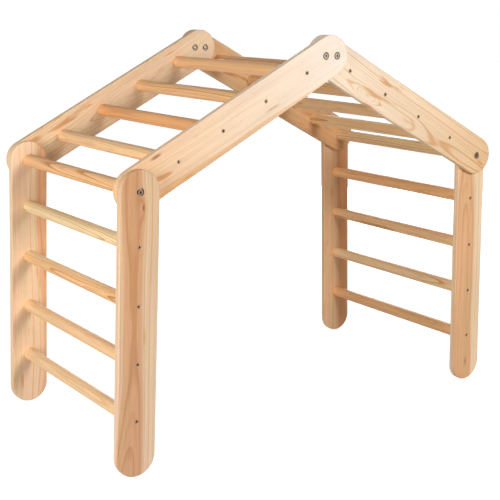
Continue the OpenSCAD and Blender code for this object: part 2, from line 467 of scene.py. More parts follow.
plain_board = plank()
cut(plain_board, copies(one_drill, [
    Matrix.Translation((0, 0, u)) @ ALONG_Y[1] for u in rung_at]))
boards = {}
for panel in PANELS:
    side, part = panel.split("_")
    partner = side + ("_roof" if part == "leg" else "_leg")
    for end in ENDS:
        board = copies(plain_board, [Matrix.Identity(4)])
        board.name = f"{panel}_{end}_board"
        tool = recess if is_outside(panel, end, partner) else through
        cutters = [copies(tool, [ALONG_Y[1]])]
        if part == "roof":
            cutters += ridge_cutters(panel, end)
        cut(board, *cutters)
        boards[panel, end] = board
discard(plain_board, one_drill, through, recess)
print("drilled", [b.name for b in boards.values()])

# %% [markdown]
# ## Sawing the boards from a log
#
# Painted grain never looks right at a corner, because real grain runs through the wood.
# So each board is given the place in a pine log that it was sawn from, as an attribute
# called log: X and Y are measured from the log's pith and Z runs up the tree. The
# material only has to know what a log looks like inside.
#
# A board has at most one knot, so two more attributes say where its eye is in the log and
# how wide, dark and slim it is. The last two say how clearly the growth rings show and how
# the board is tinted. Both change from the eave to the board's other end, because wood
# from different trees is never quite the same, nor is one board all along.

# %% Each board's place in the log
# pith: across and behind the outer face; lean: how far it moves over a metre;
# knot: across, along and radius, on the face that the camera sees. All in millimetres, in
# the board's own frame. A knot also has how dark it is and its width as a share of its
# length. lines: how clearly the growth rings show, and tone: how much of red, green and
# blue the board gives back, both at the eave and at its other end.
NO_KNOT = (0, -9000, 1, 0, 1)
CUTS = {
    ("left_leg", "front"): {
        "pith": (18, -53), "lean": (4, 6), "knot": (-8, 34, 1.7, 1, 0.28),
        "lines": (0.7, 0.7), "tone": ((0.92, 0.9, 0.9), (1.03, 1.06, 1.15))},
    ("left_leg", "back"): {
        "pith": (46, 78), "lean": (4, -8), "knot": NO_KNOT,
        "lines": (0.7, 0.7), "tone": ((1.18, 1.2, 1.24), (1.1, 1.08, 1.11))},
    ("left_roof", "front"): {
        "pith": (70, 44), "lean": (20, 6), "knot": (-40, 76, 1.2, 0.8, 0.1),
        "lines": (1.0, 0.2), "tone": ((0.92, 0.76, 0.57), (1.0, 1.06, 1.15))},
    ("left_roof", "back"): {
        "pith": (-8, -66), "lean": (6, 26), "knot": (-40, 430, 2, 1, 0.28),
        "lines": (0.8, 0.8), "tone": ((0.92, 0.83, 0.67), (0.89, 0.81, 0.71))},
    ("right_roof", "front"): {
        "pith": (-34, -84), "lean": (30, 6), "knot": (-26, 440, 2.6, 0.15, 0.5),
        "lines": (1.0, 1.0), "tone": ((0.87, 0.74, 0.56), (1.04, 1.08, 1.1))},
    ("right_roof", "back"): {
        "pith": (-30, -48), "lean": (8, 14), "knot": (34, 560, 3, 1, 0.28),
        "lines": (0.9, 0.9), "tone": ((0.74, 0.52, 0.32), (0.82, 0.66, 0.48))},
    ("right_leg", "front"): {
        "pith": (15, -54), "lean": (6, 12), "knot": (2, 598, 3, 0.6, 0.28),
        "lines": (0.7, 0.7), "tone": ((1.13, 1.21, 1.27), (1.15, 1.2, 1.25))},
    ("right_leg", "back"): {
        "pith": (34, -34), "lean": (-8, -10), "knot": NO_KNOT,
        "lines": (0.6, 0.6), "tone": ((0.97, 0.87, 0.79), (1.2, 1.09, 1.0))},
}

# %% Saw the boards
LOG_STEP = 1.37  # how much further up the tree each next piece comes from, in metres


def saw_from_log(piece, pith, lean, height, tone, lines, knot=NO_KNOT, face=0.0):
    """Stores where each point of a piece, still in its own frame, was in the log."""
    def in_log(x, y, z):
        return (x - (pith[0] + lean[0] * z) * MM, y - (pith[1] + lean[1] * z) * MM, z + height)

    verts = piece.data.vertices
    across, along, radius, dark, slim = knot
    eye = in_log(across * MM, face, along * MM)
    first, last = lines
    start, stop = (Vector(tint) for tint in tone)
    store(piece, "log", "FLOAT_VECTOR", [in_log(*vert.co) for vert in verts])
    store(piece, "knot_eye", "FLOAT_VECTOR", [eye] * len(verts))
    store(piece, "knot_shape", "FLOAT_VECTOR", [(radius * MM, dark, slim)] * len(verts))
    store(piece, "lines", "FLOAT", [first + (last - first) * v.co.z / REACH for v in verts])
    store(piece, "tone", "FLOAT_VECTOR", [start.lerp(stop, v.co.z / REACH) for v in verts])


for number, (key, board) in enumerate(boards.items()):
    seen_face = 0.0 if key[1] == "front" else THICK
    saw_from_log(board, height=number * LOG_STEP, face=seen_face, **CUTS[key])
print(f"sawn {len(boards)} boards from {len(boards) * LOG_STEP:.1f} m of log")

# %% [markdown]
# ## The rungs
#
# A rung is a dowel, turned smooth, with a pilot hole in each end for its screw. The two
# rungs on the eaves are a little shorter: they butt against the boards and take a brass
# insert at each end instead. All eighteen come from other places in the log, drawn with a
# seeded dice, so no two show the same grain.
#
# Dowels are bought in bundles, and some are darker than others. Eighteen materials would be
# hard to keep alike, so each rung only has a depth of colour, and the tint that follows from
# it goes into the same attribute as a board's.

# %% How deep the colour of each rung is
PALE = Vector((1.09, 1.04, 1.05))  # the share of red, green and blue at depth 0
DEEPER = Vector((-0.03, -0.19, -0.32))  # what each whole step of depth adds
DEPTHS = {  # the four rungs of a panel, from the eave on, and the one on each eave
    "left_leg": (-1.8, 0, 0.35, 0.1), "left_roof": (0.3, 0.8, -0.2, 0.9),
    "right_roof": (-0.5, 0.3, -0.7, 0), "right_leg": (1.1, 0.5, 0, 1.05),
    "left_pivot": (0,), "right_pivot": (-1.2,),
}


def tint_of(node):
    """The tint of a rung, by a node's name such as left_leg_rung_2 or left_pivot_rung."""
    panel, _, number = node.partition("_rung")
    return PALE + DEEPER * DEPTHS[panel][int(number[1:] or 1) - 1]


# %% A dowel with a hole in each end
CHAMFER = 0.8 * MM
DOWEL_SIDES = 64
END_HOLE_SIDES = 32


def dowel(length, hole_r, depth):
    """A rung along Z from height 0."""
    rod = turned(eased(RUNG_D / 2, length, CHAMFER, CHAMFER), DOWEL_SIDES)
    hole = turned([(hole_r, -PAST), (hole_r, depth)], END_HOLE_SIDES)
    from_top = Matrix.Translation((0, 0, length)) @ Matrix.Rotation(math.pi, 4, "X")
    cut(rod, copies(hole, [Matrix.Identity(4), from_top]))
    discard(hole)
    return rod


pilot_depth = SCREW_L + SCREW_SINK + SLIP - (THICK - SOCKET)
INSERT_D = size("left_pivot_inserts").x
INSERT_L = 20 * MM
plain_rung = dowel(RUNG_L, SCREW_D / 2 + SLIP, pilot_depth)
eave_rung = dowel(size("left_pivot_rung").y, INSERT_D / 2 + SLIP, INSERT_L)
print(f"turned two kinds of dowel, with holes {pilot_depth / MM:.1f} and {INSERT_L / MM:.1f} deep")

# %% Saw the rungs and put them in place
dice = random.Random(11)
RUNG_PITH = (26, 88)  # least and most from a rung's middle to the pith, in millimetres
RUNG_LEAN = 24  # how far the pith may move over a metre, in millimetres
RUNGS_FROM = 20  # metres up the tree, above the last board


def place_rung(shape, node, name, number):
    """Copies a rung to its node's place, after sawing it from the log."""
    rung = copies(shape, [Matrix.Identity(4)])
    rung.name = name
    angle = dice.uniform(0, math.tau)
    off = dice.uniform(*RUNG_PITH)
    lean = (dice.uniform(-RUNG_LEAN, RUNG_LEAN), dice.uniform(-RUNG_LEAN, RUNG_LEAN))
    tint = tint_of(node)
    saw_from_log(rung, pith=(off * math.cos(angle), off * math.sin(angle)), lean=lean,
                 height=RUNGS_FROM + number * LOG_STEP, tone=(tint, tint), lines=(1, 1))
    at = middle(node)
    at.y = outer_y(node, "front")
    rung.matrix_world = Matrix.Translation(at) @ ALONG_Y[1]
    apply_place(rung)
    return rung


rungs = {}
for panel in PANELS:
    for k in RUNGS:
        node = f"{panel}_rung_{k}"
        rungs[node] = place_rung(plain_rung, node, f"{panel}_dowel_{k}", len(rungs))
for side in SIDES:
    node = f"{side}_pivot_rung"
    rungs[node] = place_rung(eave_rung, node, f"{side}_eave_dowel", len(rungs))
discard(plain_rung, eave_rung)
print("placed", len(rungs), "rungs")

# %% [markdown]
# ## Screws, bolts, washers and nuts
#
# Each kind is modelled once, with its head at the origin and its shank along Z, and then
# copied to its places. The heads carry what catches the eye in such small things: a
# bevelled rim and a hexagon key hole that is deep enough to be dark.

# %% Where the hardware goes
hardware = []  # (piece, the node that it stands for, body, slot)


def in_from(node, end, x, z, sink=0):
    """A place on a node's outer side, with Z turned into the house."""
    y = outer_y(node, end) + sink * INWARDS[end]
    return Matrix.Translation((x, y, z)) @ ALONG_Y[INWARDS[end]]


def keep(piece, name, node, slot, body="roof"):
    """Names a finished set and notes what it stands for."""
    piece.name = name
    hardware.append((piece, node, body, slot))


# %% The rung screws


def rung_screw():
    head = SCREW_HEAD_D / 2
    shank = SCREW_D / 2
    neck = SCREW_RIM + head - shank
    bevel = 0.25 * MM
    start = neck + 4 * MM
    stop = SCREW_L - shank
    pitch = 3 * MM
    screw = turned([(head - bevel, 0), (head, bevel), (head, SCREW_RIM), (shank, neck)]
                   + thread_rings(shank, start, stop, pitch)
                   + [(shank / 3, SCREW_L)], sides=24)
    cut_thread(screw, start, stop, pitch, depth=1.1 * MM)
    cut_key_hole(screw, SCREW_KEY, depth=3 * MM)
    smooth(screw)
    return screw


screw = rung_screw()
for panel in PANELS:
    for end in ENDS:
        node = f"{panel}_{end}_rung_screws"
        holes = [middle(f"{panel}_rung_{k}") for k in RUNGS]
        screws = copies(screw, [in_from(node, end, at.x, at.z) for at in holes])
        keep(screws, f"{panel}_{end}_screws", node, "rung_screw", body_of(panel))
discard(screw)
print("cut", len(hardware) * len(RUNGS), "screws")

# %% A bolt
THREAD_L = 22 * MM
TIP_L = 0.8 * MM
TIP_BEVEL = 0.6 * MM
FIRST_RING = 0.2 * MM  # from where the thread starts


def socket_bolt(length):
    """A bolt whose head starts at the origin; length is over all."""
    head = BOLT_HEAD_D / 2
    shank = BOLT_D / 2
    bevel = 0.6 * MM
    start = max(BOLT_HEAD_H, length - THREAD_L)
    stop = length - TIP_L
    pitch = 1 * MM
    bolt = turned([(head - bevel, 0), (head, bevel), (head, BOLT_HEAD_H), (shank, BOLT_HEAD_H)]
                  + thread_rings(shank, start + FIRST_RING, stop, pitch)
                  + [(shank - TIP_BEVEL, length)], sides=32)
    cut_thread(bolt, start, stop, pitch, depth=0.5 * MM)
    cut_key_hole(bolt, BOLT_KEY, depth=3.6 * MM)
    smooth(bolt)
    return bolt


# %% The bolts of the eaves and the ridge
for side in SIDES:
    for end in ENDS:
        node = f"{side}_{end}_pivot_bolt"
        at = middle(node)
        shape = socket_bolt(size(node).y)
        bolt = copies(shape, [in_from(node, end, at.x, at.z)])
        keep(bolt, f"{side}_{end}_eave_bolt", node, "pivot_bolt")
        discard(shape)
shape = socket_bolt(size("front_ridge_bolts").y)
for end in ENDS:
    node = f"{end}_ridge_bolts"
    bolts = copies(shape, [in_from(node, end, at.x, at.z) for at in RIDGE_BOLTS])
    keep(bolts, f"{end}_peak_bolts", node, "ridge_bolt")
discard(shape)
print(f"eave bolts {size('left_front_pivot_bolt').y / MM:.1f} mm long,",
      f"ridge bolts {size('front_ridge_bolts').y / MM:.1f}")

# %% A washer and a nut


def drilled(profile, sides, bevel):
    """A flat turned piece with a bolt hole through it and eased edges."""
    top = profile[-1][1]
    piece = turned(profile, sides)
    hole = BOLT_D / 2 + SLIP
    cut(piece, turned([(hole + bevel + PAST, -PAST), (hole, bevel), (hole, top - bevel),
                       (hole + bevel + PAST, top + PAST)]))
    smooth(piece)
    return piece


washer_bevel = 0.25 * MM
washer = drilled(eased(WASHER_D / 2, WASHER_T, washer_bevel, washer_bevel), 48, washer_bevel)
nut_r = NUT_W / 2 / HEX_FLATS
nut_bevel = 0.5 * MM
nut = drilled(eased(nut_r, NUT_H, nut_bevel, nut_bevel / 2), HEXAGON, nut_bevel / 2)
print(f"washers {WASHER_D / MM:.1f} mm wide, nuts {NUT_W / MM:.1f} across their flats")

# %% The washers and nuts in their places
for side in SIDES:
    node = f"{side}_pivot_washers"
    at = middle(node)
    washers = copies(washer, [in_from(node, end, at.x, at.z) for end in ENDS])
    keep(washers, f"{side}_eave_washers", node, "washer")
for end in ENDS:
    node = f"{end}_ridge_washers"
    last = size(node).y - WASHER_T
    washers = copies(washer, [
        in_from(node, end, at.x, at.z, sink) for at in RIDGE_BOLTS for sink in (0, last)])
    keep(washers, f"{end}_peak_washers", node, "washer")
    node = f"{end}_ridge_nuts"
    nuts = copies(nut, [in_from(node, end, at.x, at.z) for at in RIDGE_BOLTS])
    keep(nuts, f"{end}_peak_nuts", node, "ridge_bolt")
discard(washer, nut)
print("made", len(hardware), "sets of screws, bolts, washers and nuts")

# %% [markdown]
# ## Small helpers for shader nodes
#
# A node tree built in code soon turns into pages of links. A few small functions keep it
# readable: they add a node and feed its inputs, do sums, fade from one value to another,
# mix colours, and wrap an effect in a group that several materials share.

# %% Colours and nodes


def srgb(code):
    """A colour as a screen shows it, RRGGBB, turned into the linear values shaders use."""
    shown = [int(code[i:i + 2], 16) / 255 for i in (0, 2, 4)]
    return (*(c / 12.92 if c <= 0.04045 else ((c + 0.055) / 1.055) ** 2.4 for c in shown), 1)


def add_node(tree, kind, feeds=None, **settings):
    """Adds a node. A feed that is a socket is linked, and any other value is typed in."""
    node = tree.nodes.new(kind)
    for key, value in settings.items():
        setattr(node, key, value)
    for key, value in (feeds or {}).items():
        if isinstance(value, bpy.types.NodeSocket):
            tree.links.new(value, node.inputs[key])
        else:
            node.inputs[key].default_value = value
    return node


def attribute(tree, name, output):
    return add_node(tree, "ShaderNodeAttribute", attribute_name=name).outputs[output]


# %% Sums, soft steps and mixes


def calc(tree, operation, *values):
    return add_node(tree, "ShaderNodeMath", dict(enumerate(values)), operation=operation).outputs[0]


def vector_calc(tree, operation, *values):
    node = add_node(tree, "ShaderNodeVectorMath", dict(enumerate(values)), operation=operation)
    return node.outputs["Value" if operation in ("LENGTH", "DOT_PRODUCT") else "Vector"]


def times(tree, vector, factor):
    node = add_node(tree, "ShaderNodeVectorMath", {0: vector, "Scale": factor}, operation="SCALE")
    return node.outputs["Vector"]


def rise(tree, value, start, stop, low=0.0, high=1.0):
    """A soft step from low to high as value goes from start to stop."""
    feeds = {"Value": value, "From Min": start, "From Max": stop, "To Min": low, "To Max": high}
    return add_node(
        tree, "ShaderNodeMapRange", feeds, interpolation_type="SMOOTHSTEP").outputs["Result"]


def mix(tree, factor, first, second, how="MIX"):
    """Mixes two colours. The numbers are the colour sockets of Blender's Mix node."""
    node = add_node(tree, "ShaderNodeMix", {0: factor, 6: first, 7: second},
                    data_type="RGBA", blend_type=how, clamp_factor=True)
    return node.outputs[2]


# %% Noise and groups


def noise(tree, place, stretch, detail=2.0, roughness=0.5):
    """A noise texture. stretch says how many waves it has per metre along each axis."""
    spread = vector_calc(tree, "MULTIPLY", place, stretch)
    feeds = {"Vector": spread, "Scale": 1.0, "Detail": detail, "Roughness": roughness}
    return add_node(tree, "ShaderNodeTexNoise", feeds)


def new_group(name, takes, gives):
    """A shader node group. takes maps each input to its kind; gives lists float outputs."""
    group = bpy.data.node_groups.new(name, "ShaderNodeTree")
    for label, kind in takes.items():
        group.interface.new_socket(name=label, in_out="INPUT", socket_type="NodeSocket" + kind)
    for label in gives:
        group.interface.new_socket(name=label, in_out="OUTPUT", socket_type="NodeSocketFloat")
    given = group.nodes.new("NodeGroupInput").outputs
    result = group.nodes.new("NodeGroupOutput").inputs
    return group, given, result


def use_group(tree, group, feeds):
    return add_node(tree, "ShaderNodeGroup", feeds, node_tree=group).outputs


# %% [markdown]
# ## What a log looks like inside
#
# Every year a pine adds a ring: pale early wood that darkens into a thin line of late wood,
# and then starts again at once. In the log that is a saw-tooth of the distance from the
# pith. Noise bends the rings, makes some years fat and some lean, and some lines darker.
# Cut flat, such rings give straight lines at the edges of a board and arches in its
# middle, without our drawing either.

# %% Growth rings
BENDS = (8, 8, 2.2)  # waves per metre, across the log and up it
SPELLS = 70.0  # spells of fat and lean years, in waves per metre from the pith
SPELL_RINGS = 2.2  # how many rings a spell can push together or apart
DARKEST, ENDS_FROM = 0.88, 0.93  # when in a year the late wood is darkest, and begins to end


def make_growth_rings():
    takes = {"Place": "Vector", "Ring Width": "Float", "Late From": "Float",
             "Wander": "Float", "Push": "Float"}
    group, given, result = new_group("growth_rings", takes, ("Late Wood", "Radius", "Ring Tone"))
    bend = noise(group, given["Place"], BENDS, detail=1.5)
    bend = vector_calc(group, "SUBTRACT", bend.outputs["Color"], (0.5, 0.5, 0.5))
    moved = vector_calc(group, "ADD", given["Place"], times(group, bend, given["Wander"]))
    flat = vector_calc(group, "MULTIPLY", moved, (1, 1, 0))
    radius = calc(group, "ADD", vector_calc(group, "LENGTH", flat), given["Push"])
    years = add_node(group, "ShaderNodeTexNoise", {
        "W": calc(group, "MULTIPLY", radius, SPELLS), "Scale": 1.0, "Detail": 1.0},
        noise_dimensions="1D")
    fat_and_lean = calc(group, "MULTIPLY", years.outputs["Fac"], SPELL_RINGS)
    ring = calc(group, "ADD", calc(group, "DIVIDE", radius, given["Ring Width"]), fat_and_lean)
    part = calc(group, "FRACT", ring)
    darkens = rise(group, part, given["Late From"], DARKEST)
    ends = rise(group, part, ENDS_FROM, 1.0, 1.0, 0.0)
    group.links.new(calc(group, "MULTIPLY", darkens, ends), result["Late Wood"])
    group.links.new(radius, result["Radius"])
    tone = add_node(group, "ShaderNodeTexWhiteNoise", {"W": calc(group, "FLOOR", ring)},
                    noise_dimensions="1D")
    group.links.new(tone.outputs["Value"], result["Ring Tone"])
    return group


growth_rings = make_growth_rings()
print("growth rings have", len(growth_rings.nodes), "nodes")

# %% [markdown]
# ## Fibres, resin and knots
#
# Three more effects make it pine. Long fibres streak the surface finely. Here and there
# resin has soaked a streak, which shows orange. A knot is a branch that grew out from the
# pith, so its core is a small dark cylinder, and the rings flow round it. A single noise
# could streak the wood, but the three differ in size, shape and colour, so each is a group.

# %% Fibres and resin
FIBRE_WAVES = {"Fine": (1300, 1300, 26), "Streak": (210, 210, 3.2),
               "Broad": (19, 19, 2.1), "Hue": (95, 95, 4.5)}
DUCT_WAVES = (950, 950, 95)  # resin ducts, which show as tiny dark flecks
RESIN_WAVES = (42, 42, 7)


def make_fibres():
    group, given, result = new_group("fibres", {"Place": "Vector"}, (*FIBRE_WAVES, "Fleck"))
    for label, stretch in FIBRE_WAVES.items():
        made = noise(group, given["Place"], stretch, detail=3.0, roughness=0.6)
        group.links.new(made.outputs["Fac"], result[label])
    ducts = noise(group, given["Place"], DUCT_WAVES, detail=1.0)
    group.links.new(rise(group, ducts.outputs["Fac"], 0.69, 0.76), result["Fleck"])
    return group


def make_resin():
    group, given, result = new_group(
        "resin", {"Place": "Vector", "Amount": "Float"}, ("Resin",))
    soaked = noise(group, given["Place"], RESIN_WAVES, detail=2.5, roughness=0.55)
    level = calc(group, "SUBTRACT", 0.78, calc(group, "MULTIPLY", given["Amount"], 0.25))
    excess = calc(group, "SUBTRACT", soaked.outputs["Fac"], level)
    group.links.new(rise(group, excess, 0.0, 0.09), result["Resin"])
    return group


fibres = make_fibres()
resin = make_resin()

# %% Knots
FADE_BASE, FADE_RATE = 2.718, -0.035  # how the push fades with the square of the distance
PUSH_RADII = -3.4  # how far the rings are pushed at the eye, in radii of the knot


def make_knot():
    takes = {"Place": "Vector", "Eye": "Vector", "Radius": "Float", "Slim": "Float"}
    group, given, result = new_group("knot", takes, ("Core", "Rim", "Push"))
    off = vector_calc(group, "SUBTRACT", given["Place"], given["Eye"])
    branch = vector_calc(
        group, "NORMALIZE", vector_calc(group, "MULTIPLY", given["Eye"], (1, 1, 0)))
    reach = vector_calc(group, "DOT_PRODUCT", off, branch)
    across = vector_calc(group, "SUBTRACT", off, times(group, branch, reach))
    squeeze = add_node(group, "ShaderNodeCombineXYZ", {"X": 1.0, "Y": 1.0, "Z": given["Slim"]})
    oval = vector_calc(group, "MULTIPLY", across, squeeze.outputs[0])
    far = calc(group, "DIVIDE", vector_calc(group, "LENGTH", oval), given["Radius"])
    group.links.new(rise(group, far, 0.7, 1.05, 1.0, 0.0), result["Core"])
    rim = calc(group, "MULTIPLY", rise(group, far, 0.6, 1.0), rise(group, far, 1.0, 1.7, 1.0, 0.0))
    group.links.new(rim, result["Rim"])
    square = calc(group, "MULTIPLY", far, far)
    near = calc(group, "POWER", FADE_BASE, calc(group, "MULTIPLY", square, FADE_RATE))
    most = calc(group, "MULTIPLY", given["Radius"], PUSH_RADII)
    group.links.new(calc(group, "MULTIPLY", near, most), result["Push"])
    return group


knot = make_knot()
print("groups so far:", [group.name for group in (growth_rings, fibres, resin, knot)])

# %% [markdown]
# ## Oiled pine
#
# The heart of a pine is warmer and browner than the sap wood round it, and a board that
# spans both shows the border as a long soft stripe. So the material picks its colours by
# the distance from the pith. The late wood is a little harder and smoother, which the
# roughness and a very shallow bump pass on to the light.
#
# A photo of a board as a texture would be quicker, but it would repeat from board to board
# and stop at the edges. Here one recipe serves every piece, and only its numbers change.

# %% The colour of the rings
HEART_RADIUS = 60 * MM
HEART_BORDER = 3 * MM  # half the width of the border round the heart


def ring_colour(tree, rings, sap, heart):
    """Late wood as lines in early wood, in the colours of the sap wood and of the heart."""
    inner, outer = HEART_RADIUS - HEART_BORDER, HEART_RADIUS + HEART_BORDER
    in_heart = rise(tree, rings["Radius"], inner, outer, 1.0, 0.0)
    early = mix(tree, in_heart, srgb(sap[0]), srgb(heart[0]))
    late = mix(tree, in_heart, srgb(sap[1]), srgb(heart[1]))
    strength = rise(tree, rings["Ring Tone"], 0.2, 1.0, 0.15, 1.0)
    strength = calc(tree, "MULTIPLY", strength, attribute(tree, "lines", "Fac"))
    return mix(tree, calc(tree, "MULTIPLY", rings["Late Wood"], strength), early, late)


# %% The colour of resin, fibres and knots
RESIN, FLECK, KNOT_RIM, KNOT_CORE = "DB9658", "9A6236", "A5713F", "8A5C36"
ROSY, YELLOWISH = (1.03, 0.97, 0.98, 1), (0.97, 1.01, 0.9, 1)
SHADES = {"Broad": (0.93, 1.04), "Streak": (0.94, 1.04), "Fine": (0.96, 1.03)}


def fibre_colour(tree, wood, fibre, hue_change):
    """Turns the wood a little rosy or yellowish, streaks it, and adds the flecks."""
    hue = mix(tree, rise(tree, fibre["Hue"], 0.32, 0.68), ROSY, YELLOWISH)
    wood = mix(tree, hue_change, wood, hue, "MULTIPLY")
    broad, streak, fine = (
        rise(tree, fibre[label], 0.3, 0.7, *shades) for label, shades in SHADES.items())
    shade = calc(tree, "MULTIPLY", calc(tree, "MULTIPLY", broad, streak), fine)
    fleck = calc(tree, "MULTIPLY", fibre["Fleck"], 0.3)
    return mix(tree, fleck, times(tree, wood, shade), srgb(FLECK))


def knot_colour(tree, wood, knots, dark):
    """Lays the knot's brown rim on the wood, and its darker core on both."""
    rim = calc(tree, "MULTIPLY", calc(tree, "MULTIPLY", knots["Rim"], dark), 0.5)
    core = calc(tree, "MULTIPLY", calc(tree, "MULTIPLY", knots["Core"], dark), 0.85)
    return mix(tree, core, mix(tree, rim, wood, srgb(KNOT_RIM)), srgb(KNOT_CORE))


# %% The pine material
WANDER = 26 * MM  # how far the rings stray from true circles


def new_material(name):
    material = bpy.data.materials.new(name)
    material.use_nodes = True
    return material, material.node_tree, material.node_tree.nodes["Principled BSDF"]


def add_relief(tree, shader, height, depth, strength):
    feeds = {"Height": height, "Distance": depth, "Strength": strength}
    bump = add_node(tree, "ShaderNodeBump", feeds)
    tree.links.new(bump.outputs["Normal"], shader.inputs["Normal"])


def pine(name, sap, heart, ring_width=3.8, late_from=0.42, hue_change=1.0, resin_amount=0.5):
    """sap and heart are (early wood, late wood) pairs of screen colours; ring_width is in mm."""
    material, tree, shader = new_material(name)
    place = attribute(tree, "log", "Vector")
    eye = attribute(tree, "knot_eye", "Vector")
    shape = add_node(tree, "ShaderNodeSeparateXYZ", {0: attribute(tree, "knot_shape", "Vector")})
    radius, dark, slim = shape.outputs
    knots = use_group(tree, knot, {"Place": place, "Eye": eye, "Radius": radius, "Slim": slim})
    rings = use_group(tree, growth_rings, {
        "Place": place, "Ring Width": ring_width * MM, "Late From": late_from,
        "Wander": WANDER, "Push": knots["Push"]})
    fibre = use_group(tree, fibres, {"Place": place})
    soaked = use_group(tree, resin, {"Place": place, "Amount": resin_amount})["Resin"]

    wood = ring_colour(tree, rings, sap, heart)
    wood = mix(tree, calc(tree, "MULTIPLY", soaked, 0.7), wood, srgb(RESIN))
    wood = fibre_colour(tree, wood, fibre, hue_change)
    wood = knot_colour(tree, wood, knots, dark)
    wood = vector_calc(tree, "MULTIPLY", wood, attribute(tree, "tone", "Vector"))
    tree.links.new(wood, shader.inputs["Base Color"])

    gloss = calc(tree, "ADD", rise(tree, fibre["Fine"], 0.3, 0.7, 0.5, 0.6),
                 calc(tree, "MULTIPLY", rings["Late Wood"], -0.08))
    tree.links.new(gloss, shader.inputs["Roughness"])
    shader.inputs["Specular IOR Level"].default_value = 0.15
    relief = calc(tree, "ADD", calc(tree, "MULTIPLY", rings["Late Wood"], 0.6),
                  calc(tree, "MULTIPLY", fibre["Fine"], 0.5))
    add_relief(tree, shader, relief, depth=0.08 * MM, strength=0.6)
    return material


WOODS = {
    "roof_board": pine("roof_pine", ("FBE3CB", "DFA469"), ("F0CBA4", "D4955C"),
                       ring_width=2.7, late_from=0.66, hue_change=0.5, resin_amount=0.7),
    "leg_board": pine("leg_pine", ("EAC9A6", "D3A074"), ("DCA87E", "C58C60")),
    "rung": pine("dowel_pine", ("F2D2A4", "CE955A"), ("EBBE8A", "BE8248"),
                 ring_width=3.2, hue_change=0.6, resin_amount=0.3),
}
print("woods:", [wood.name for wood in WOODS.values()])

# %% [markdown]
# ## Metals
#
# Zinc plating is pale and a little cloudy, and duller on the nuts than on the bolts. The
# eave bolts are blackened, and the inserts are brass. What they share is handling: faint
# scratches and cloudy patches that change the gloss far more than the colour. One group
# makes both, and each metal uses it. A metal with a key hole also gets painted shade at the
# bottom of the hole.

# %% Handling
CLOUD_WAVES = (420, 420, 420)
SCRATCH_WAVES = (300, 2600, 5200)


def make_handling():
    group, given, result = new_group("handling", {"Place": "Vector"}, ("Cloud", "Scratch"))
    cloud = noise(group, given["Place"], CLOUD_WAVES, detail=3.0)
    group.links.new(cloud.outputs["Fac"], result["Cloud"])
    scratch = noise(group, given["Place"], SCRATCH_WAVES, detail=1.0)
    group.links.new(rise(group, scratch.outputs["Fac"], 0.6, 0.72), result["Scratch"])
    return group


handling = make_handling()

# %% Metal materials
# the colour of the painted shade at the bottom of a key hole
KEY_HOLE_SHADE = "33231A"


def metal(name, clean, dull, polish, key_hole=False):
    """clean and dull are screen colours; polish is the roughness of the clean metal."""
    material, tree, shader = new_material(name)
    place = add_node(tree, "ShaderNodeTexCoord").outputs["Object"]
    marks = use_group(tree, handling, {"Place": place})
    cloud = rise(tree, marks["Cloud"], 0.35, 0.65)
    tint = mix(tree, cloud, srgb(clean), srgb(dull))
    rough = rise(tree, cloud, 0.0, 1.0, polish, polish + 0.15)
    rough = calc(tree, "ADD", rough, calc(tree, "MULTIPLY", marks["Scratch"], 0.12))
    shader.inputs["Metallic"].default_value = 1.0
    if key_hole:
        # painted shade: the bottom of a key hole is painted dark, made rough and not metallic
        key_hole_shade = attribute(tree, "key_hole_shade", "Fac")
        tint = mix(tree, key_hole_shade, tint, srgb(KEY_HOLE_SHADE))
        rough = calc(tree, "ADD", rough, calc(tree, "MULTIPLY", key_hole_shade, 0.4))
        tree.links.new(calc(tree, "SUBTRACT", 1.0, key_hole_shade), shader.inputs["Metallic"])
    tree.links.new(tint, shader.inputs["Base Color"])
    tree.links.new(rough, shader.inputs["Roughness"])
    add_relief(tree, shader, marks["Scratch"], depth=0.02 * MM, strength=0.5)
    return material


METALS = {
    "rung_screw": metal("plated_screw", "B39A82", "8E7660", 0.4, key_hole=True),
    "ridge_bolt": metal("plated_bolt", "C6BDAF", "9C9182", 0.32, key_hole=True),
    "ridge_nut": metal("plated_nut", "A69E93", "83796B", 0.42),
    "washer": metal("plated_washer", "C4BBAD", "9A9081", 0.36),
    "pivot_bolt": metal("blackened_bolt", "8C7B6C", "685848", 0.42, key_hole=True),
    "insert": metal("turned_brass", "D8BC74", "B3924E", 0.3),
}
print("metals:", [finish.name for finish in METALS.values()])

# %% [markdown]
# ## Dress the model
#
# Each new piece stands for its node, rides on the same body as the node did, and names the
# finish it takes. The inserts are out of sight and their shape is right, so they stay as
# they are and only get their brass.

# %% Give every piece its finish, node and body


def dress(piece, material, node, body):
    piece.data.materials.clear()
    piece.data.materials.append(material)
    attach(piece, body)
    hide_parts(node)


for (panel, end), board in boards.items():
    board.data.transform(board_place(panel, end))
    smooth(board)
    slot = "leg_board" if "leg" in panel else "roof_board"
    dress(board, WOODS[slot], f"{panel}_{end}_rail", body_of(panel))
for node, rung in rungs.items():
    smooth(rung)
    body = "roof" if "pivot" in node else body_of(node.split("_rung")[0])
    dress(rung, WOODS["rung"], node, body)
for piece, node, body, slot in hardware:
    finish = "ridge_nut" if node.endswith("_nuts") else slot
    dress(piece, METALS[finish], node, body)
for side in SIDES:
    inserts = frame["nodes"][f"{side}_pivot_inserts"]
    inserts.data.materials.clear()
    inserts.data.materials.append(METALS["insert"])
print("dressed", len(boards) + len(rungs) + len(hardware), "pieces")

# %% [markdown]
# ## The white ground
#
# The photograph has a plain white ground. A white floor that is only lit would need far
# more light than the wood can bear, so the floor and the world glow when the camera sees
# them, straight or in a shine. The floor keeps a soft shadow, and both light the wood dimly.

# %% The floor
FLOOR_SIZE = 30
LIT_GREY = (0.45, 0.45, 0.45, 1)  # as the wood sees the floor
SHADED_GREY = (0.4, 0.4, 0.4, 1)  # as the camera does, under the glow
UNDER_HOUSE, OPEN_FLOOR = 0.7, 1.8  # metres from the middle, where it glows less and fully


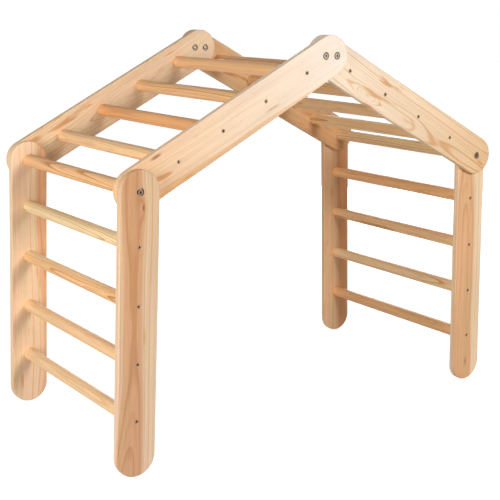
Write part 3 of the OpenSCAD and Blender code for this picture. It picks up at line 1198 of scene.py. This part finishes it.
def seen_directly(tree):
    """1 for what the camera sees straight, in a shine or through glass, and 0 otherwise."""
    path = add_node(tree, "ShaderNodeLightPath").outputs
    shine = calc(tree, "MAXIMUM", path["Is Glossy Ray"], path["Is Transmission Ray"])
    return calc(tree, "MAXIMUM", path["Is Camera Ray"], shine)


def floor_finish():
    material = bpy.data.materials.new("studio_white")
    material.use_nodes = True
    tree = material.node_tree
    tree.nodes.clear()
    lit = add_node(tree, "ShaderNodeBsdfDiffuse", {"Color": LIT_GREY}).outputs[0]
    shaded = add_node(tree, "ShaderNodeBsdfDiffuse", {"Color": SHADED_GREY}).outputs[0]
    place = add_node(tree, "ShaderNodeTexCoord").outputs["Object"]
    strength = rise(
        tree, vector_calc(tree, "LENGTH", place), UNDER_HOUSE, OPEN_FLOOR, 0.86, 1.0)
    glow = add_node(tree, "ShaderNodeEmission", {"Strength": strength}).outputs[0]
    bright = add_node(tree, "ShaderNodeAddShader", {0: shaded, 1: glow}).outputs[0]
    surface = add_node(tree, "ShaderNodeMixShader", {0: seen_directly(tree), 1: lit, 2: bright})
    add_node(tree, "ShaderNodeOutputMaterial", {"Surface": surface.outputs[0]})
    return material


bpy.ops.object.select_all(action="DESELECT")
bpy.ops.mesh.primitive_plane_add(size=FLOOR_SIZE, location=(0, 0, 0))
floor = bpy.context.object
floor.name = "studio_floor"
floor.data.materials.append(floor_finish())
floor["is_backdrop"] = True
print(f"a floor of {FLOOR_SIZE} m by {FLOOR_SIZE} m")

# %% The world
WHITE = (1, 1, 1, 1)
SOFT_LIGHT = 0.13
world = bpy.data.worlds.new("studio")
bpy.context.scene.world = world
world.use_nodes = True
sky = world.node_tree
sky.nodes.clear()
soft = add_node(sky, "ShaderNodeBackground", {"Color": WHITE, "Strength": SOFT_LIGHT}).outputs[0]
white = add_node(sky, "ShaderNodeBackground", {"Color": WHITE, "Strength": 1.0}).outputs[0]
around = add_node(sky, "ShaderNodeMixShader", {0: seen_directly(sky), 1: soft, 2: white})
add_node(sky, "ShaderNodeOutputWorld", {"Surface": around.outputs[0]})
print("the world lights the wood at a strength of", SOFT_LIGHT)

# %% [markdown]
# ## Light
#
# The photo's light is soft and comes from all over, with the fronts of the boards a little
# brighter than their edges. One sun would throw hard shadows. Three large soft boxes stand
# round the house instead: one in front, one at the left, and one behind at the right.

# %% Soft boxes


def soft_box(name, at, towards, width, power):
    """A square lamp. Places and width are in metres, and power is in watts."""
    lamp = bpy.data.lights.new(name, "AREA")
    lamp.shape = "SQUARE"
    lamp.size = width
    lamp.energy = power
    box = bpy.data.objects.new(name, lamp)
    bpy.context.collection.objects.link(box)
    box.location = at
    box.rotation_euler = (Vector(towards) - Vector(at)).to_track_quat("-Z", "Y").to_euler()
    print(f"{name}: {power} W, {width} m wide")


soft_box("key", (0.3, -3.03, 1.55), (0, 0, 0.6), 0.85, 62)
soft_box("left_fill", (-3.0, -0.8, 0.95), (0, 0, 0.5), 1.5, 60)
soft_box("back_fill", (2.3, 2.6, 0.9), (0, 0, 0.5), 1.6, 90)

# %% [markdown]
# ## Camera
#
# The camera stands where the photographer's did. Turning it by hand until the picture fits
# is slow, so its place, its angles and its focal length were worked out from where screws,
# bolts and edges are in the photo. The focal length is in pixels of a 500 pixel frame, and
# the lens follows from it.

# %% Set up the camera
EYE = Vector((-1645.84, -2314.13, 1037.97)) * MM
YAW, PITCH, ROLL = (math.radians(a) for a in (35.1630, 12.7311, 0.5231))
FOCAL_PX, FRAME_PX, SENSOR = 1070.78, 500, 36
camera = bpy.data.objects.new("camera", bpy.data.cameras.new("camera"))
bpy.context.collection.objects.link(camera)
camera.data.sensor_width = SENSOR
camera.data.lens = FOCAL_PX / FRAME_PX * SENSOR
look = Matrix.Rotation(-YAW, 4, "Z") @ Matrix.Rotation(math.pi / 2 - PITCH, 4, "X")
camera.matrix_world = Matrix.Translation(EYE) @ look @ Matrix.Rotation(ROLL, 4, "Z")
bpy.context.scene.camera = camera
bpy.context.scene.view_settings.view_transform = "Standard"
print(f"camera with a {camera.data.lens:.1f} mm lens")

# %% [markdown]
# ## Measure and finish
#
# New pieces must be no larger than what they stand for. The box of the imported model and
# the box of what is shown now are measured the same way, kept side by side and printed.

# %% Measure and finish
shown_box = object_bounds()
boxes = {"cad": cad_box, "shown": shown_box}
for name, (low, high) in boxes.items():
    print(name, "box", [round(v, 4) for v in low], [round(v, 4) for v in high])
